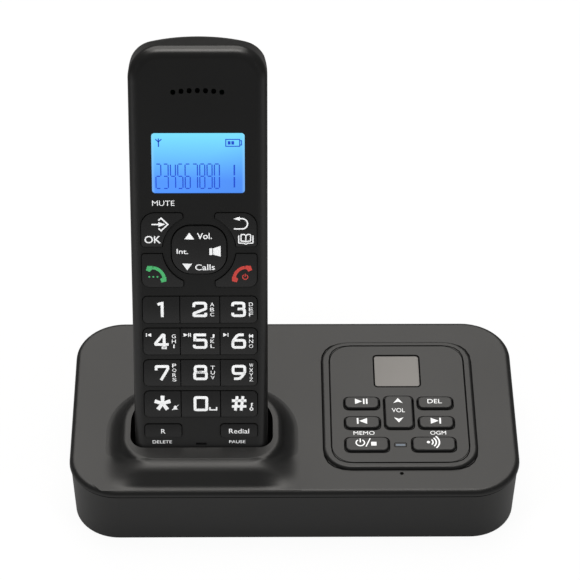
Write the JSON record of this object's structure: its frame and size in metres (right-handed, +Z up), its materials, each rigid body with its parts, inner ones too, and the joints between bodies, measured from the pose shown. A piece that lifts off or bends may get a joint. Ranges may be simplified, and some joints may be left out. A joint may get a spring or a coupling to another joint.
{
  "type": "cordless phone with base",
  "caption": "Cordless phone: a keypad handset leans back in the charging cradle of an answering machine base that has its own small display, play keys and volume rocker.",
  "frame": {"origin": "under the middle of the whole set (base with the handset in its cradle), on the table the rubber feet rest on", "axes": "+X to the right of a person facing the keys, +Y to the back, +Z up"},
  "size_m": [0.17, 0.0966, 0.1756],
  "materials": {
    "shell": "satin moulded ABS, near black",
    "key": "moulded keys, slightly lighter black",
    "clear_window": "clear polycarbonate over a lit display",
    "grey_window": "clear polycarbonate over a grey display",
    "display": "liquid crystal display in a frame",
    "light_pipe": "milky clear acrylic",
    "board": "green lacquered circuit board",
    "keymat": "grey silicone rubber",
    "speaker": "stamped frame and magnet",
    "microphone": "aluminium can",
    "contact": "plated spring steel",
    "cell": "sleeved nickel metal hydride cell",
    "socket": "black moulded socket",
    "foot": "soft rubber",
    "screw": "zinc-plated steel",
    "pivot": "rubber button"
  },
  "bodies": {
    "base": {"base_top_shell": "shell", "base_bottom_shell": "shell", "control_plate": "shell", "base_display_window": "grey_window", "base_display_module": "display", "base_board": "board", "base_keymat": "keymat", "base_speaker": "speaker", "base_microphone": "microphone", "status_light_pipe": "light_pipe", "charge_springs": "contact", "line_jack": "socket", "power_jack": "socket", "rubber_feet": "foot", "base_screws": "screw"},
    "handset": {"handset_front_shell": "shell", "handset_back_shell": "shell", "display_window": "clear_window", "display_module": "display", "handset_board": "board", "handset_keymat": "keymat", "earpiece_speaker": "speaker", "ringer_speaker": "speaker", "handset_microphone": "microphone", "batteries": "cell", "battery_contacts": "contact", "handset_charge_contacts": "contact", "handset_screws": "screw"},
    "battery_cover": {"battery_cover": "shell"},
    "nav_pivot": {"nav_pad_pivot": "pivot"},
    "nav_pad": {"nav_pad": "key"},
    "play_key": {"play_key": "key"},
    "previous_key": {"previous_key": "key"},
    "delete_key": {"delete_key": "key"},
    "next_key": {"next_key": "key"},
    "power_key": {"power_key": "key"},
    "locate_key": {"locate_key": "key"},
    "volume_rocker": {"volume_rocker": "key"},
    "ok_key": {"ok_key": "key"},
    "phonebook_key": {"phonebook_key": "key"},
    "talk_key": {"talk_key": "key"},
    "end_key": {"end_key": "key"},
    "recall_key": {"recall_key": "key"},
    "redial_key": {"redial_key": "key"},
    "key_1": {"key_1": "key"},
    "key_2": {"key_2": "key"},
    "key_3": {"key_3": "key"},
    "key_4": {"key_4": "key"},
    "key_5": {"key_5": "key"},
    "key_6": {"key_6": "key"},
    "key_7": {"key_7": "key"},
    "key_8": {"key_8": "key"},
    "key_9": {"key_9": "key"},
    "key_star": {"key_star": "key"},
    "key_0": {"key_0": "key"},
    "key_hash": {"key_hash": "key"}
  },
  "joints": [
    {"name": "handset_lift", "type": "slide", "parent": "base", "child": "handset", "axis": [0, 0.3795, 0.9252], "range_m": [0, 0.08]},
    {"name": "battery_cover_release", "type": "slide", "parent": "handset", "child": "battery_cover", "axis": [0, 0.9252, -0.3795], "range_m": [0, 0.015]},
    {"name": "volume_rocker_tilt", "type": "hinge", "parent": "base", "child": "volume_rocker", "pos_m": [0.0401, -0.00854, 0.0276], "axis": [1, 0, 0], "range_deg": [-4, 4], "stiffness_Nm_per_rad": 0.05},
    {"name": "nav_tilt_sideways", "type": "hinge", "parent": "handset", "child": "nav_pivot", "pos_m": [-0.0351, 0.00398, 0.10461], "axis": [0, 0.3795, 0.9252], "range_deg": [-3, 3], "stiffness_Nm_per_rad": 0.05},
    {"name": "nav_tilt_up_down", "type": "hinge", "parent": "nav_pivot", "child": "nav_pad", "pos_m": [-0.0351, 0.00398, 0.10461], "axis": [1, 0, 0], "range_deg": [-3, 3], "stiffness_Nm_per_rad": 0.05},
    {"name": "play_key_press", "type": "slide", "parent": "base", "child": "play_key", "axis": [0, 0, -1], "range_m": [0, 0.0008], "stiffness_N_per_m": 1500},
    {"name": "previous_key_press", "type": "slide", "parent": "base", "child": "previous_key", "axis": [0, 0, -1], "range_m": [0, 0.0008], "stiffness_N_per_m": 1500},
    {"name": "delete_key_press", "type": "slide", "parent": "base", "child": "delete_key", "axis": [0, 0, -1], "range_m": [0, 0.0008], "stiffness_N_per_m": 1500},
    {"name": "next_key_press", "type": "slide", "parent": "base", "child": "next_key", "axis": [0, 0, -1], "range_m": [0, 0.0008], "stiffness_N_per_m": 1500},
    {"name": "power_key_press", "type": "slide", "parent": "base", "child": "power_key", "axis": [0, 0, -1], "range_m": [0, 0.0008], "stiffness_N_per_m": 1500},
    {"name": "locate_key_press", "type": "slide", "parent": "base", "child": "locate_key", "axis": [0, 0, -1], "range_m": [0, 0.0008], "stiffness_N_per_m": 1500},
    {"name": "ok_key_press", "type": "slide", "parent": "handset", "child": "ok_key", "axis": [0, 0.9252, -0.3795], "range_m": [0, 0.0006], "stiffness_N_per_m": 1500},
    {"name": "phonebook_key_press", "type": "slide", "parent": "handset", "child": "phonebook_key", "axis": [0, 0.9252, -0.3795], "range_m": [0, 0.0006], "stiffness_N_per_m": 1500},
    {"name": "talk_key_press", "type": "slide", "parent": "handset", "child": "talk_key", "axis": [0, 0.9252, -0.3795], "range_m": [0, 0.0006], "stiffness_N_per_m": 1500},
    {"name": "end_key_press", "type": "slide", "parent": "handset", "child": "end_key", "axis": [0, 0.9252, -0.3795], "range_m": [0, 0.0006], "stiffness_N_per_m": 1500},
    {"name": "recall_key_press", "type": "slide", "parent": "handset", "child": "recall_key", "axis": [0, 0.9252, -0.3795], "range_m": [0, 0.0006], "stiffness_N_per_m": 1500},
    {"name": "redial_key_press", "type": "slide", "parent": "handset", "child": "redial_key", "axis": [0, 0.9252, -0.3795], "range_m": [0, 0.0006], "stiffness_N_per_m": 1500},
    {"name": "key_1_press", "type": "slide", "parent": "handset", "child": "key_1", "axis": [0, 0.9252, -0.3795], "range_m": [0, 0.0006], "stiffness_N_per_m": 1500},
    {"name": "key_2_press", "type": "slide", "parent": "handset", "child": "key_2", "axis": [0, 0.9252, -0.3795], "range_m": [0, 0.0006], "stiffness_N_per_m": 1500},
    {"name": "key_3_press", "type": "slide", "parent": "handset", "child": "key_3", "axis": [0, 0.9252, -0.3795], "range_m": [0, 0.0006], "stiffness_N_per_m": 1500},
    {"name": "key_4_press", "type": "slide", "parent": "handset", "child": "key_4", "axis": [0, 0.9252, -0.3795], "range_m": [0, 0.0006], "stiffness_N_per_m": 1500},
    {"name": "key_5_press", "type": "slide", "parent": "handset", "child": "key_5", "axis": [0, 0.9252, -0.3795], "range_m": [0, 0.0006], "stiffness_N_per_m": 1500},
    {"name": "key_6_press", "type": "slide", "parent": "handset", "child": "key_6", "axis": [0, 0.9252, -0.3795], "range_m": [0, 0.0006], "stiffness_N_per_m": 1500},
    {"name": "key_7_press", "type": "slide", "parent": "handset", "child": "key_7", "axis": [0, 0.9252, -0.3795], "range_m": [0, 0.0006], "stiffness_N_per_m": 1500},
    {"name": "key_8_press", "type": "slide", "parent": "handset", "child": "key_8", "axis": [0, 0.9252, -0.3795], "range_m": [0, 0.0006], "stiffness_N_per_m": 1500},
    {"name": "key_9_press", "type": "slide", "parent": "handset", "child": "key_9", "axis": [0, 0.9252, -0.3795], "range_m": [0, 0.0006], "stiffness_N_per_m": 1500},
    {"name": "key_star_press", "type": "slide", "parent": "handset", "child": "key_star", "axis": [0, 0.9252, -0.3795], "range_m": [0, 0.0006], "stiffness_N_per_m": 1500},
    {"name": "key_0_press", "type": "slide", "parent": "handset", "child": "key_0", "axis": [0, 0.9252, -0.3795], "range_m": [0, 0.0006], "stiffness_N_per_m": 1500},
    {"name": "key_hash_press", "type": "slide", "parent": "handset", "child": "key_hash", "axis": [0, 0.9252, -0.3795], "range_m": [0, 0.0006], "stiffness_N_per_m": 1500}
  ]
}
